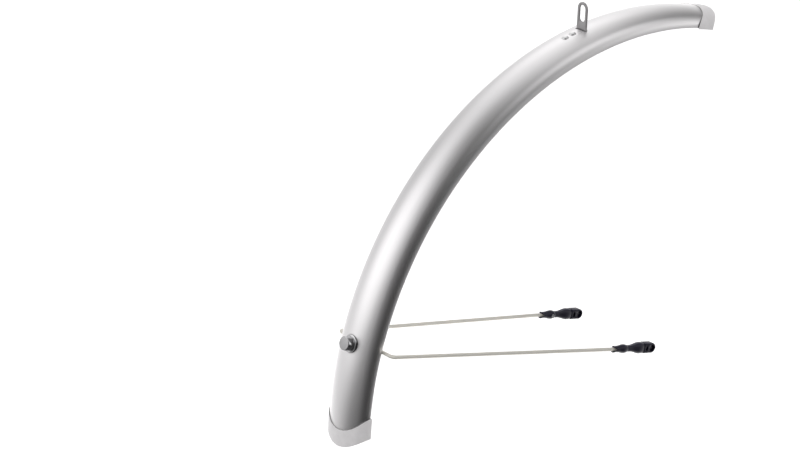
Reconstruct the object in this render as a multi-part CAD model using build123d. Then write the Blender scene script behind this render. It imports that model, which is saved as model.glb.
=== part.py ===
from build123d import *
import os
from math import atan2, cos, degrees, pi, radians, sin, sqrt, tan

# Blade sizes, in mm, measured from the wheel's axle
RIM_RADIUS = 350.0
BLADE_WIDTH = 53.0
BLADE_DEPTH = 18.0
WALL = 1.2
SHOULDER_RADIUS = 13.3
SIDE_HEIGHT = 1.2
HEM_WIDTH = 2.0
HEM_HEIGHT = 1.1

# Angles round the axle, in degrees up from straight ahead
UPPER_TIP_ANGLE = 74.4
LOWER_TIP_ANGLE = 181.5
STAY_ANGLE = 165.2

# End caps
CAP_WALL = 0.8
CAP_FIT = 0.1
TIP_WALL = 2.0
TIP_BOW = 11.5
LIP_SETBACK = 17.5
LIP_BOW = 16.5

# Fork bracket
BRACKET_X = -74.3
BRACKET_WIDTH = 13.6
BRACKET_SHEET = 1.2
BRACKET_STAND = 27.5
BRACKET_BEND = 1.5
FOOT_LENGTH = 37.0
SLOT_WIDTH = 7.8
SLOT_LENGTH = 17.0
BRACKET_FIT = 0.3

# Rivets, along the crown from the tab
RIVET_SETBACK = 12.6
RIVET_PITCH = 9.8
RIVET_SHANK = 3.2
RIVET_HEAD = 7.0
RIVET_RISE = 2.0
RIVET_LAND = 3.6
RIVET_TAIL = 5.0
RIVET_TAIL_LENGTH = 1.6

# Stay bolt and what it clamps
BOLT_SHANK = 5.0
HEAD_WIDTH = 14.0
HEAD_HEIGHT = 6.6
HEAD_CHAMFER = 0.7
CUP_WIDTH = 17.5
CUP_HEIGHT = 2.4
CUP_RIM = 0.8
PAD_WIDTH = 22.0
PAD_LENGTH = 18.0
PAD_EDGE = 0.6
PLATE_INSET = 2.0
PLATE_LENGTH = 18.0
PLATE_SHEET = 1.5
PLATE_ROUND = 4.0
NUT_ACROSS = 8.0
NUT_HEIGHT = 4.0
BOLT_SPARE = 0.6

# Stay wire
WIRE = 3.8
EYE_REACH = 9.5
EYE_GAP = 0.25
WIRE_GAP = 1.7
WIRE_DROP = 2.0
WIRE_BEND = 4.0
LEG_BEND = 5.0
LEG_START = 40.0
MOUTH_BEND = 60.0
MOUTH_LEAD = 6.0

# Clips at the ends of the stay, along the leg from the eyelet
EYELET_X = -3.3
EYELET_Z = 22.8
EYELET_HALF_SPAN = 54.4
EYELET_HOLE = 5.4
SEAT_WIDTH = 7.4
SEAT_DEPTH = 2.5
BASE_HEIGHT = 10.4
BASE_THICKNESS = 8.0
BASE_LENGTH = 11.2
BASE_CHAMFER = 0.8
WINDOW_START = 8.8
WINDOW_LENGTH = 2.6
WINDOW_HEIGHT = 5.0
PLUG_GAP = 0.5
PLUG_LENGTH = 22.6
PLUG_NECK = 6.4
PLUG_NECK_LENGTH = 4.5
PLUG_FLARE_HEIGHT = 11.4
PLUG_FLARE_THICKNESS = 9.0
PLUG_FACE_HEIGHT = 10.4
PLUG_FACE_THICKNESS = 8.0
PLUG_FLARE_LENGTH = 4.5
PLUG_CHAMFER = 1.8
SPIGOT = 5.2
SPIGOT_LENGTH = 5.9
WIRE_IN_PLUG = 8.0
SLEEVE_LENGTH = 19.2
SLEEVE_MOUTH = 6.4
SLEEVE_BULGE = 9.2
SLEEVE_END = 7.8
MOUTH_DEPTH = 5.0
MOUTH_HOLE = 4.8
SLIT_WIDTH = 3.4
SLIT_DEPTH = 3.8
GRUB = 3.0
GRUB_BACK = 4.6
GRUB_SOCKET = 1.5
GRUB_SOCKET_DEPTH = 1.2

# Named clearances
BOLT_FIT = 0.15
TOUCH = 0.05
WIRE_FIT = 0.05
SPIGOT_FIT = 0.15
PAD_FIT = 0.1
OVERCUT = 2.0

# Sizes that follow from the ones above
HALF_WIDTH = BLADE_WIDTH / 2
CROWN_OUTER = RIM_RADIUS + BLADE_DEPTH
SHOULDER_Y = HALF_WIDTH - SHOULDER_RADIUS
SHOULDER_R = RIM_RADIUS + SIDE_HEIGHT
RISE = BLADE_DEPTH - SIDE_HEIGHT
CROWN_RADIUS = (SHOULDER_Y**2 + RISE**2 - SHOULDER_RADIUS**2) / (2 * (RISE - SHOULDER_RADIUS))
CROWN_R = CROWN_OUTER - CROWN_RADIUS
CROWN_LEAN = atan2(SHOULDER_Y, SHOULDER_R - CROWN_R)
CAP_GROW = CAP_FIT + CAP_WALL
WIRE_R = WIRE / 2
BRACKET_HALF = BRACKET_WIDTH / 2
AXLE = Axis((0, 0, 0), (0, -1, 0))


def outward(angle):
    """Unit direction away from the axle at an angle."""
    return Vector(cos(radians(angle)), 0, sin(radians(angle)))


def onward(angle):
    """Unit direction along the blade, towards its lower tip."""
    return Vector(-sin(radians(angle)), 0, cos(radians(angle)))


def seat(angle, radius, sense=1):
    """Plane touching the circle of a radius, its x along the axle and its y along the blade."""
    return Plane(origin=outward(angle) * radius, x_dir=(0, 1, 0), z_dir=outward(angle) * sense)


def turned(face, start, end):
    """A section swept round the axle between two angles."""
    section = Plane(origin=(0, 0, 0), x_dir=(0, 1, 0), z_dir=-onward(start))
    return revolve(section * face, AXLE, end - start)


def flip(point):
    return (-point[0], point[1])


def loop(points):
    """Straight edges through points in turn."""
    return [Line(a, b) for a, b in zip(points, points[1:])]


def crown_height(inset, y):
    """Radius of the crown's surface, moved in by an inset, at a distance from the middle."""
    return CROWN_R + sqrt((CROWN_RADIUS - inset) ** 2 - y**2)


def flank(inset, height):
    """Distance of the side or shoulder, moved in by an inset, from the middle at a height."""
    rise = max(0, height - SHOULDER_R)
    return SHOULDER_Y + sqrt((SHOULDER_RADIUS - inset) ** 2 - rise**2)


def arch(inset, foot):
    """Side, shoulder, half crown and their mirror on the section, moved in by an inset."""
    shoulder = SHOULDER_RADIUS - inset
    crown = CROWN_RADIUS - inset
    start = max(foot, SHOULDER_R)
    knee = (flank(inset, start), start)
    middle = (CROWN_LEAN + atan2(knee[0] - SHOULDER_Y, start - SHOULDER_R)) / 2
    bulge = (SHOULDER_Y + shoulder * sin(middle), SHOULDER_R + shoulder * cos(middle))
    blend = (SHOULDER_Y + shoulder * sin(CROWN_LEAN), SHOULDER_R + shoulder * cos(CROWN_LEAN))
    slope = (crown * sin(CROWN_LEAN / 2), CROWN_R + crown * cos(CROWN_LEAN / 2))
    top = (0, CROWN_OUTER - inset)
    sides = [Line((knee[0], foot), knee), Line(flip(knee), (-knee[0], foot))] if foot < start else []
    return sides + [
        ThreePointArc(knee, bulge, blend),
        ThreePointArc(blend, slope, top),
        ThreePointArc(top, flip(slope), flip(blend)),
        ThreePointArc(flip(blend), flip(bulge), flip(knee)),
    ]


def blade_face(grow):
    """Section of the blade with a hem folded in along each side, swelled by an amount."""
    foot = RIM_RADIUS - grow
    hem_top = RIM_RADIUS + HEM_HEIGHT + grow
    hem_in = HALF_WIDTH - HEM_WIDTH - grow
    hem = [(HALF_WIDTH + grow, foot), (hem_in, foot), (hem_in, hem_top), (flank(WALL + grow, hem_top), hem_top)]
    edges = arch(-grow, foot) + arch(WALL + grow, hem_top) + loop(hem) + loop([flip(p) for p in hem])
    return make_face(edges)


def beyond(angle, sense, setback, bow):
    """Block of all that lies past a bowed line across the blade, set back from a tip."""
    reach = HALF_WIDTH + CAP_GROW + OVERCUT
    corner = -setback - bow * (reach / HALF_WIDTH) ** 2
    far = LIP_SETBACK
    line = ThreePointArc((-reach, corner), (0, -setback), (reach, corner))
    rest = loop([(reach, corner), (reach, far), (-reach, far), (-reach, corner)])
    return extrude(seat(angle, CROWN_OUTER, sense) * make_face([line] + rest), 2 * BLADE_DEPTH, both=True)


def end_cap(angle, sense):
    """Cap round a tip: a skin on both sides of the blade, open at its arched lip."""
    back = degrees((LIP_SETBACK + 2 * LIP_BOW) / RIM_RADIUS)
    over = degrees(OVERCUT / RIM_RADIUS)
    start, end = (angle - back, angle + over) if sense > 0 else (angle - over, angle + back)
    skin = turned(blade_face(CAP_GROW), start, end)
    pocket = turned(blade_face(CAP_FIT), start, end)
    pocket -= beyond(angle, sense, TIP_WALL, TIP_BOW)
    skin = (skin & beyond(angle, sense, LIP_SETBACK, LIP_BOW)) - beyond(angle, sense, 0, TIP_BOW)
    return skin - pocket


def hole(plane, width, top, bottom):
    """Round cutter along a plane's normal between two heights."""
    return plane * Pos(0, 0, bottom) * extrude(Circle(width / 2), top - bottom)


def rounded_path(points, radii):
    """Line through points with an arc at each inner corner."""
    points = [Vector(*p) for p in points]
    edges = []
    at = points[0]
    for before, corner, after, radius in zip(points, points[1:], points[2:], radii):
        back = (before - corner).normalized()
        ahead = (after - corner).normalized()
        half = radians(back.get_angle(ahead)) / 2
        first = corner + back * (radius / tan(half))
        last = corner + ahead * (radius / tan(half))
        middle = corner + (back + ahead).normalized() * (radius / sin(half) - radius)
        edges += [Line(at, first), ThreePointArc(first, middle, last)]
        at = last
    return Wire(edges + [Line(at, points[-1])])


# Fork bracket: tab on a plane across the wheel, foot curved to the inside of the crown
FOOT_OUTER = crown_height(WALL, BRACKET_HALF) - TOUCH
FOOT_INNER = FOOT_OUTER - BRACKET_SHEET
TAB_BACK = BRACKET_X - BRACKET_SHEET / 2
TAB_FRONT = BRACKET_X + BRACKET_SHEET / 2
CROWN_AT_TAB = sqrt(CROWN_OUTER**2 - BRACKET_X**2)
TAB_TOP = CROWN_AT_TAB + BRACKET_STAND
SLOT_Z = TAB_TOP - BRACKET_HALF + SLOT_WIDTH / 2 - SLOT_LENGTH / 2
SLOT_CENTRE = Vector(BRACKET_X, 0, SLOT_Z)
TAB_ANGLE = degrees(atan2(CROWN_AT_TAB, BRACKET_X))
RIVET_ANGLES = [TAB_ANGLE + degrees(d / CROWN_OUTER) for d in (RIVET_SETBACK, RIVET_SETBACK + RIVET_PITCH)]


def fork_bracket():
    inside = (TAB_BACK, sqrt(FOOT_OUTER**2 - TAB_BACK**2))
    outside = (TAB_FRONT, sqrt(FOOT_INNER**2 - TAB_FRONT**2))
    turn = degrees(atan2(inside[1], inside[0]))
    toe = turn + degrees(FOOT_LENGTH / FOOT_OUTER)
    over = [outward(a) * FOOT_OUTER for a in ((turn + toe) / 2, toe)]
    under = [outward(a) * FOOT_INNER for a in (toe, (turn + toe) / 2)]
    flat = [(p.X, p.Z) for p in over + under]
    edges = loop([outside, (TAB_FRONT, TAB_TOP), (TAB_BACK, TAB_TOP), inside])
    edges += [ThreePointArc(inside, flat[0], flat[1]), Line(flat[1], flat[2])]
    edges += [ThreePointArc(flat[2], flat[3], outside)]
    face = make_face(edges)
    corners = face.vertices()
    face = fillet(corners.sort_by_distance((*inside, 0))[0], BRACKET_BEND)
    corners = face.vertices()
    face = fillet(corners.sort_by_distance((*outside, 0))[0], BRACKET_BEND + BRACKET_SHEET)
    strip = extrude(Plane.XZ * face, BRACKET_HALF, both=True)
    across = Plane(origin=(TAB_BACK, 0, TAB_TOP - BRACKET_HALF), x_dir=(0, 1, 0), z_dir=(1, 0, 0))
    head = Rectangle(BRACKET_WIDTH, BRACKET_WIDTH, align=(Align.CENTER, Align.MIN)) - Circle(BRACKET_HALF)
    strip -= extrude(across * head, BRACKET_SHEET + OVERCUT, both=True)
    slot = Plane(origin=SLOT_CENTRE, x_dir=(0, 0, 1), z_dir=(1, 0, 0))
    strip -= extrude(slot * SlotOverall(SLOT_LENGTH, SLOT_WIDTH), BRACKET_SHEET + OVERCUT, both=True)
    for angle in RIVET_ANGLES:
        strip -= hole(seat(angle, CROWN_OUTER), RIVET_SHANK + 2 * BOLT_FIT, 0, -BLADE_DEPTH)
    return strip


def rivet(angle):
    """Raised head outside, shank through blade and foot, upset tail inside."""
    head, land, shank, tail = RIVET_HEAD / 2, RIVET_LAND / 2, RIVET_SHANK / 2, RIVET_TAIL / 2
    grip = FOOT_INNER - 2 * TOUCH - CROWN_OUTER
    end = grip - RIVET_TAIL_LENGTH
    outline = [(0, RIVET_RISE), (0, end), (tail, end), (tail, grip), (shank, grip), (shank, 0)]
    outline += [(head, 0), (land, RIVET_RISE), (0, RIVET_RISE)]
    solid = revolve(make_face(loop(outline)), Axis.Y)
    return seat(angle, CROWN_OUTER + TOUCH) * Rot(90, 0, 0) * solid


# Heights of the clamped stack at the stay bolt, out from the crown
STAY = seat(STAY_ANGLE, CROWN_OUTER)
CUP_TOP = TOUCH + CUP_HEIGHT
PAD_BOTTOM = crown_height(WALL, PAD_WIDTH / 2) - PAD_EDGE - CROWN_OUTER
WIRE_MIDDLE = PAD_BOTTOM - PAD_FIT - WIRE_R
PLATE_TOP = WIRE_MIDDLE - WIRE_R - TOUCH
NUT_TOP = PLATE_TOP - PLATE_SHEET - TOUCH
NUT_BOTTOM = NUT_TOP - NUT_HEIGHT
BOLT_END = NUT_BOTTOM - BOLT_SPARE
BOLT_HOLE = BOLT_SHANK + 2 * BOLT_FIT
PLATE_WIDTH = 2 * (EYE_REACH - PLATE_INSET)


def cup_washer():
    """Flanged washer, dished up to the bolt's head."""
    rim, top, bore = CUP_WIDTH / 2, HEAD_WIDTH / 2, BOLT_HOLE / 2
    shape = loop([(bore, TOUCH), (rim, TOUCH), (rim, TOUCH + CUP_RIM)])
    shape += [Line((rim, TOUCH + CUP_RIM), (top, CUP_TOP))]
    shape += loop([(top, CUP_TOP), (bore, CUP_TOP), (bore, TOUCH)])
    return STAY * Rot(90, 0, 0) * revolve(make_face(shape), Axis.Y)


def stay_bolt():
    """Tall round head with a flat end, and a plain shank."""
    base = CUP_TOP + TOUCH
    bolt = Pos(0, 0, base) * extrude(Circle(HEAD_WIDTH / 2), HEAD_HEIGHT)
    bolt = chamfer(bolt.edges().group_by(Axis.Z)[-1], HEAD_CHAMFER)
    return STAY * (bolt + Pos(0, 0, BOLT_END) * extrude(Circle(BOLT_SHANK / 2), base - BOLT_END))


def saddle_pad():
    """Pad that fills the crown's hollow above the wire's eye."""
    half = PAD_WIDTH / 2
    top = crown_height(WALL + TOUCH, half)
    peak = crown_height(WALL + TOUCH, 0)
    low = CROWN_OUTER + PAD_BOTTOM
    arc = ThreePointArc((half, top), (0, peak), (-half, top))
    face = make_face([arc] + loop([(-half, top), (-half, low), (half, low), (half, top)]))
    swing = degrees(PAD_LENGTH / 2 / CROWN_OUTER)
    pad = turned(face, STAY_ANGLE - swing, STAY_ANGLE + swing)
    return pad - hole(STAY, BOLT_HOLE, 0, -BLADE_DEPTH)


def clamp_plate():
    sheet = extrude(RectangleRounded(PLATE_WIDTH, PLATE_LENGTH, PLATE_ROUND), -PLATE_SHEET)
    return STAY * Pos(0, 0, PLATE_TOP) * sheet - hole(STAY, BOLT_HOLE, 0, -BLADE_DEPTH)


def stay_nut():
    across = NUT_ACROSS / 2 / cos(pi / 6)
    nut = extrude(RegularPolygon(across, 6), -NUT_HEIGHT)
    return STAY * Pos(0, 0, NUT_TOP) * nut - hole(STAY, BOLT_SHANK + 2 * TOUCH, 0, BOLT_END)


# Stay wire: eye round the bolt, arms down inside the blade, legs to the clips
EYE_R = BOLT_SHANK / 2 + WIRE_R + EYE_GAP
EYE_DROP = EYE_R * EYE_REACH / sqrt(EYE_REACH**2 - EYE_R**2)
ARM_R = SHOULDER_RADIUS - WALL - WIRE_R - WIRE_GAP
ARM_Y = SHOULDER_Y + ARM_R * sin(pi / 4)
ARM_Z = SHOULDER_R + ARM_R * cos(pi / 4) - CROWN_OUTER
EXIT_Z = RIM_RADIUS - WIRE_R - TOUCH - CROWN_OUTER
LEG_TOP = STAY.from_local_coords((0, 0, EXIT_Z))
LEG = (Vector(EYELET_X, 0, EYELET_Z) - Vector(LEG_TOP.X, 0, LEG_TOP.Z)).normalized()
PLUG_FACE = BASE_LENGTH + PLUG_GAP
PLUG_BACK = PLUG_FACE + PLUG_LENGTH
SLEEVE_FRONT = PLUG_BACK + TOUCH
MOUTH = SLEEVE_FRONT + SLEEVE_LENGTH
WIRE_STOP = PLUG_BACK - WIRE_IN_PLUG
CLIP = Plane(
    origin=(EYELET_X, -EYELET_HALF_SPAN, EYELET_Z),
    x_dir=LEG,
    z_dir=(-LEG.Z, 0, LEG.X),
)


def stay_wire():
    inner = [(EYE_REACH, 0, WIRE_MIDDLE), (ARM_Y, 0, ARM_Z), (ARM_Y + WIRE_DROP, 0, EXIT_Z), (LEG_START, 0, EXIT_Z)]
    left = [STAY.from_local_coords(p) for p in inner]
    clip = [CLIP.from_local_coords((-x, 0, 0)) for x in (MOUTH + MOUTH_LEAD, WIRE_STOP)]
    left += [Vector(p.X, -p.Y, p.Z) for p in clip]
    right = [Vector(p.X, -p.Y, p.Z) for p in left]
    eye = STAY.from_local_coords((0, -EYE_DROP, WIRE_MIDDLE))
    radii = [MOUTH_BEND, LEG_BEND, WIRE_BEND, WIRE_BEND, WIRE_BEND]
    path = rounded_path(right[::-1] + [eye] + left, radii + [EYE_R] + radii[::-1])
    return sweep(Plane(origin=right[-1], z_dir=LEG * -1) * Circle(WIRE_R), path)


def along_leg(face):
    """A half section drawn along the leg, turned round it."""
    return CLIP * revolve(face, Axis.X)


def right_sleeve():
    bore = WIRE_R + WIRE_FIT
    mouth, bulge, end = SLEEVE_MOUTH / 2, SLEEVE_BULGE / 2, SLEEVE_END / 2
    grub = SLEEVE_FRONT + GRUB_BACK
    step = MOUTH - MOUTH_DEPTH
    outline = [(-MOUTH, mouth), (-grub, bulge), (-SLEEVE_FRONT, end), (-SLEEVE_FRONT, bore), (-step, bore)]
    outline += [(-step, MOUTH_HOLE / 2), (-MOUTH, MOUTH_HOLE / 2), (-MOUTH, mouth)]
    sleeve = along_leg(make_face(loop(outline)))
    slit = Box(2 * SLIT_DEPTH, SLEEVE_BULGE + OVERCUT, SLIT_WIDTH)
    sleeve -= CLIP * Pos(-MOUTH, 0, 0) * slit
    return sleeve - CLIP * Pos(-grub, 0, 0) * Rot(-90, 0, 0) * extrude(Circle(GRUB / 2 + TOUCH), SLEEVE_BULGE)


def right_grub_screw():
    """Clamp screw from the wheel side, its tip on the wire."""
    tip = WIRE_R + WIRE_FIT
    length = SLEEVE_BULGE / 2 - tip
    screw = Pos(0, 0, tip) * extrude(Circle(GRUB / 2), length)
    across = GRUB_SOCKET / 2 / cos(pi / 6)
    screw -= Pos(0, 0, tip + length - GRUB_SOCKET_DEPTH) * extrude(RegularPolygon(across, 6), SLEEVE_BULGE)
    return CLIP * Pos(-SLEEVE_FRONT - GRUB_BACK, 0, 0) * Rot(-90, 0, 0) * screw


def leg_section(x, thickness, height):
    """Section across the leg with its corners cut."""
    across = Plane(origin=(x, 0, 0), x_dir=(0, 1, 0), z_dir=(1, 0, 0))
    return across * chamfer(Rectangle(thickness, height).vertices(), PLUG_CHAMFER)


def right_plug():
    neck = PLUG_NECK
    plug = loft([
        leg_section(-PLUG_BACK, neck, neck),
        leg_section(-PLUG_BACK + PLUG_NECK_LENGTH, neck, neck),
        leg_section(-PLUG_FACE - PLUG_FLARE_LENGTH, PLUG_FLARE_THICKNESS, PLUG_FLARE_HEIGHT),
        leg_section(-PLUG_FACE, PLUG_FACE_THICKNESS, PLUG_FACE_HEIGHT),
    ], ruled=True)
    spigot = Plane(origin=(-PLUG_FACE, 0, 0), z_dir=(1, 0, 0))
    plug += spigot * extrude(Circle(SPIGOT / 2), SPIGOT_LENGTH)
    bore = Plane(origin=(-PLUG_BACK, 0, 0), z_dir=(1, 0, 0))
    plug -= bore * extrude(Circle(WIRE_R + WIRE_FIT), WIRE_IN_PLUG + WIRE_FIT)
    return CLIP * plug


def right_clip_base():
    radius = BASE_HEIGHT / 2
    outline = Circle(radius) + Pos(-BASE_LENGTH / 2, 0) * Rectangle(BASE_LENGTH, BASE_HEIGHT)
    base = extrude(Plane.XZ * outline, BASE_THICKNESS / 2, both=True)
    base = chamfer(base.edges().filter_by(GeomType.CIRCLE), BASE_CHAMFER)
    side = Plane.XZ
    base -= extrude(side * Circle(EYELET_HOLE / 2), BASE_THICKNESS, both=True)
    for turn in (0, 180):
        seat_cut = Pos(0, 0, BASE_THICKNESS / 2 - SEAT_DEPTH) * extrude(Circle(SEAT_WIDTH / 2), SEAT_DEPTH + OVERCUT)
        base -= Rot(90 + turn, 0, 0) * seat_cut
    middle = -WINDOW_START + WINDOW_LENGTH / 2
    base -= Pos(middle, 0, 0) * Box(WINDOW_LENGTH, BASE_THICKNESS + OVERCUT, WINDOW_HEIGHT)
    socket = Plane(origin=(-BASE_LENGTH, 0, 0), z_dir=(1, 0, 0))
    depth = SPIGOT_LENGTH - PLUG_GAP + SPIGOT_FIT
    base -= socket * extrude(Circle(SPIGOT / 2 + SPIGOT_FIT), depth)
    return CLIP * base


# Build each piece round the axle
blade = turned(blade_face(0), UPPER_TIP_ANGLE, LOWER_TIP_ANGLE)
blade -= beyond(LOWER_TIP_ANGLE, 1, TIP_WALL + CAP_FIT, TIP_BOW)
blade -= beyond(UPPER_TIP_ANGLE, -1, TIP_WALL + CAP_FIT, TIP_BOW)
slot_front = TAB_FRONT + BRACKET_FIT
slot_back = TAB_BACK - BRACKET_BEND - BRACKET_FIT
tab_slot = Box(slot_front - slot_back, BRACKET_WIDTH + 2 * BRACKET_FIT, 2 * BLADE_DEPTH)
blade -= Pos((slot_front + slot_back) / 2, 0, CROWN_AT_TAB) * tab_slot
for angle in RIVET_ANGLES:
    blade -= hole(seat(angle, CROWN_OUTER), RIVET_SHANK + 2 * BOLT_FIT, OVERCUT, -BLADE_DEPTH)
blade -= hole(STAY, BOLT_HOLE, OVERCUT, -BLADE_DEPTH)

PIECES = {
    "blade": blade,
    "end_caps": Compound(children=[end_cap(UPPER_TIP_ANGLE, -1), end_cap(LOWER_TIP_ANGLE, 1)]),
    "fork_bracket": fork_bracket(),
    "bracket_rivets": Compound(children=[rivet(a) for a in RIVET_ANGLES]),
    "stay_bolt": stay_bolt(),
    "cup_washer": cup_washer(),
    "saddle_pad": saddle_pad(),
    "clamp_plate": clamp_plate(),
    "stay_nut": stay_nut(),
    "stay_wire": stay_wire(),
    "right_sleeve": right_sleeve(),
    "right_grub_screw": right_grub_screw(),
    "right_plug": right_plug(),
    "right_clip_base": right_clip_base(),
}
for name in [n for n in PIECES if n.startswith("right_")]:
    PIECES[name.replace("right_", "left_")] = mirror(PIECES[name], about=Plane.XZ)

# Put the middle of the fork bracket's slot at the origin and write each piece
os.makedirs("parts", exist_ok=True)
for name, piece in PIECES.items():
    export_step(Pos(*(-SLOT_CENTRE)) * piece, f"parts/{name}.step")
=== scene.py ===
import math

import bpy
from bpy.props import FloatProperty, FloatVectorProperty, IntProperty, PointerProperty
from bpy.types import Operator, Panel, PropertyGroup
from mathutils import Matrix, Vector


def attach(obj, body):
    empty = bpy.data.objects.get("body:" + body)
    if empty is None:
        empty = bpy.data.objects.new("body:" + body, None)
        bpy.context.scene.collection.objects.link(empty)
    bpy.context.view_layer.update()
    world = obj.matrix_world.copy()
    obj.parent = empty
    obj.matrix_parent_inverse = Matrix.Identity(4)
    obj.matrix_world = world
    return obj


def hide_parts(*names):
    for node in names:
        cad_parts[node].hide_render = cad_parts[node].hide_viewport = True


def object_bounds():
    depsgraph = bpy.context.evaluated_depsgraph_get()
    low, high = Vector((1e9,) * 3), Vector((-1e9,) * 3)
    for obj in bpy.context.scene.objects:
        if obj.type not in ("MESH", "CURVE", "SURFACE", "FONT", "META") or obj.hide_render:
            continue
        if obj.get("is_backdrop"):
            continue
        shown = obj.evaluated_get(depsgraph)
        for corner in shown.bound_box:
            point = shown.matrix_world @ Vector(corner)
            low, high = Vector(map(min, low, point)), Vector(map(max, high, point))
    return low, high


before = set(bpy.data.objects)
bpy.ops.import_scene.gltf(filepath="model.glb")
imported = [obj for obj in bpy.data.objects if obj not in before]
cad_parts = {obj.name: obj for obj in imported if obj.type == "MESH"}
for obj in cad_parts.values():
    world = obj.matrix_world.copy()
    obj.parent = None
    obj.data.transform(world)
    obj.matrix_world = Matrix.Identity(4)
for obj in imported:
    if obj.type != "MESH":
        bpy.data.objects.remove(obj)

bl_info = {
    "name": "Bicycle mudguard",
    "version": (1, 0, 0),
    "blender": (4, 5, 0),
    "location": "View3D > Sidebar > Mudguard",
    "description": "Dresses the packed front-wheel mudguard: blade, end caps, bracket, stay and clips",
    "category": "Object",
}

CAD_BOX = [list(corner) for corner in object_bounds()]

# Places in the frame: the wheel's axle, the way of the stay's legs and the right eyelet
AXLE = Vector((0.0743, 0.0, -0.3765213))
LEG = Vector((0.980874, 0.0, -0.194644))
EYELET = Vector((0.071, -0.0544, -0.3537213))

# Limits of the modelling: distances that count as nothing, and angles that are shaded smooth
MERGE = 2e-6
CAD_MERGE = 1e-6
ON_AXIS = 1e-6
RIM_WINDOW = 1e-5
END_WINDOW = 1e-4
FLAT_ANGLE = math.radians(0.5)
BLADE_SMOOTH = math.radians(30)
EDGE_SMOOTH = math.radians(35)
TURNED_SMOOTH = math.radians(40)
WIRE_SMOOTH = math.radians(50)

# Steps of the curves
SHOULDER_STEPS = 10
CROWN_STEPS = 18
CAP_STEPS = 24
BOW_STEPS = 48
LATHE_STEPS = 64
CORNER_STEPS = 3
EDGE_STEPS = 2
DOME_STEPS = 8
QUARTER_TURN = [k * math.pi / 12 for k in range(7)]


# Settings that a user would change

class BladeSettings(PropertyGroup):
    """Sizes of the arched blade, measured from the wheel's axle."""
    rim_radius: FloatProperty(
        name="Rim radius", description="Axle to the blade's lower edges", default=0.350, unit="LENGTH")
    width: FloatProperty(name="Width", description="Across both sides", default=0.053, unit="LENGTH")
    depth: FloatProperty(name="Depth", description="Lower edges to the crown", default=0.018, unit="LENGTH")
    wall: FloatProperty(name="Wall", description="Thickness of the sheet", default=0.0012, unit="LENGTH")
    shoulder: FloatProperty(
        name="Shoulder radius", description="Round between side and crown", default=0.0133, unit="LENGTH")
    side: FloatProperty(
        name="Side height", description="Straight part of each side", default=0.0012, unit="LENGTH")
    hem_width: FloatProperty(
        name="Hem width", description="Folded edge, across", default=0.002, unit="LENGTH")
    hem_height: FloatProperty(
        name="Hem height", description="Folded edge, up the side", default=0.0011, unit="LENGTH")
    hem_round: FloatProperty(
        name="Hem round", description="Rounding of the folded edge", default=0.0005, unit="LENGTH")
    upper_tip: FloatProperty(
        name="Upper tip", description="Angle of the front tip", default=math.radians(74.4), subtype="ANGLE")
    lower_tip: FloatProperty(
        name="Lower tip", description="Angle of the rear tip", default=math.radians(181.5), subtype="ANGLE")
    tucked: FloatProperty(
        name="Tucked in", description="How far each end stops short of its cap's tip", default=0.015,
        unit="LENGTH")
    rows: IntProperty(name="Rows", description="Steps round the wheel", default=180, min=24)


class CapSettings(PropertyGroup):
    """Sizes of the moulded end caps."""
    grow: FloatProperty(
        name="Skin", description="Cap's surface above the blade", default=0.00087, unit="LENGTH")
    lip_setback: FloatProperty(
        name="Lip setback", description="Tip to the middle of the lip", default=0.0175, unit="LENGTH")
    lip_bow: FloatProperty(
        name="Lip bow", description="How far the lip arches at the sides", default=0.0165, unit="LENGTH")
    tip_bow: FloatProperty(
        name="Tip bow", description="How far the tip arches at the sides", default=0.0115, unit="LENGTH")
    relief: FloatProperty(
        name="Relief", description="Gap between the lip and the blade", default=0.0003, unit="LENGTH")
    relief_depth: FloatProperty(
        name="Relief depth", description="How far the gap runs in under the lip", default=0.0015,
        unit="LENGTH")
    edge: FloatProperty(
        name="Edge round", description="Rounding of the moulded edges", default=0.0003, unit="LENGTH")


class HardwareSettings(PropertyGroup):
    """Sizes of the bracket's rivets and the stay bolt."""
    rivet_head: FloatProperty(
        name="Rivet head", description="Width of the head", default=0.007, unit="LENGTH")
    rivet_rise: FloatProperty(
        name="Rivet rise", description="Height of the head", default=0.0014, unit="LENGTH")
    first_rivet: FloatProperty(
        name="First rivet", description="Its angle", default=math.radians(103.60997), subtype="ANGLE")
    second_rivet: FloatProperty(
        name="Second rivet", description="Its angle", default=math.radians(105.13578), subtype="ANGLE")
    stay_angle: FloatProperty(
        name="Stay bolt", description="Its angle", default=math.radians(165.2), subtype="ANGLE")
    head_width: FloatProperty(
        name="Bolt head width", description="Across the round head", default=0.014, unit="LENGTH")
    head_height: FloatProperty(
        name="Bolt head height", description="Above the cup", default=0.0066, unit="LENGTH")
    head_round: FloatProperty(
        name="Bolt head round", description="Rounding of the head's end", default=0.0009, unit="LENGTH")
    cup_width: FloatProperty(
        name="Cup width", description="Across the flange", default=0.0175, unit="LENGTH")
    cup_height: FloatProperty(
        name="Cup height", description="Flange to head", default=0.0024, unit="LENGTH")
    bracket_edge: FloatProperty(
        name="Bracket edge", description="Rounding of the pressed sheet", default=0.00025, unit="LENGTH")


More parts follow.
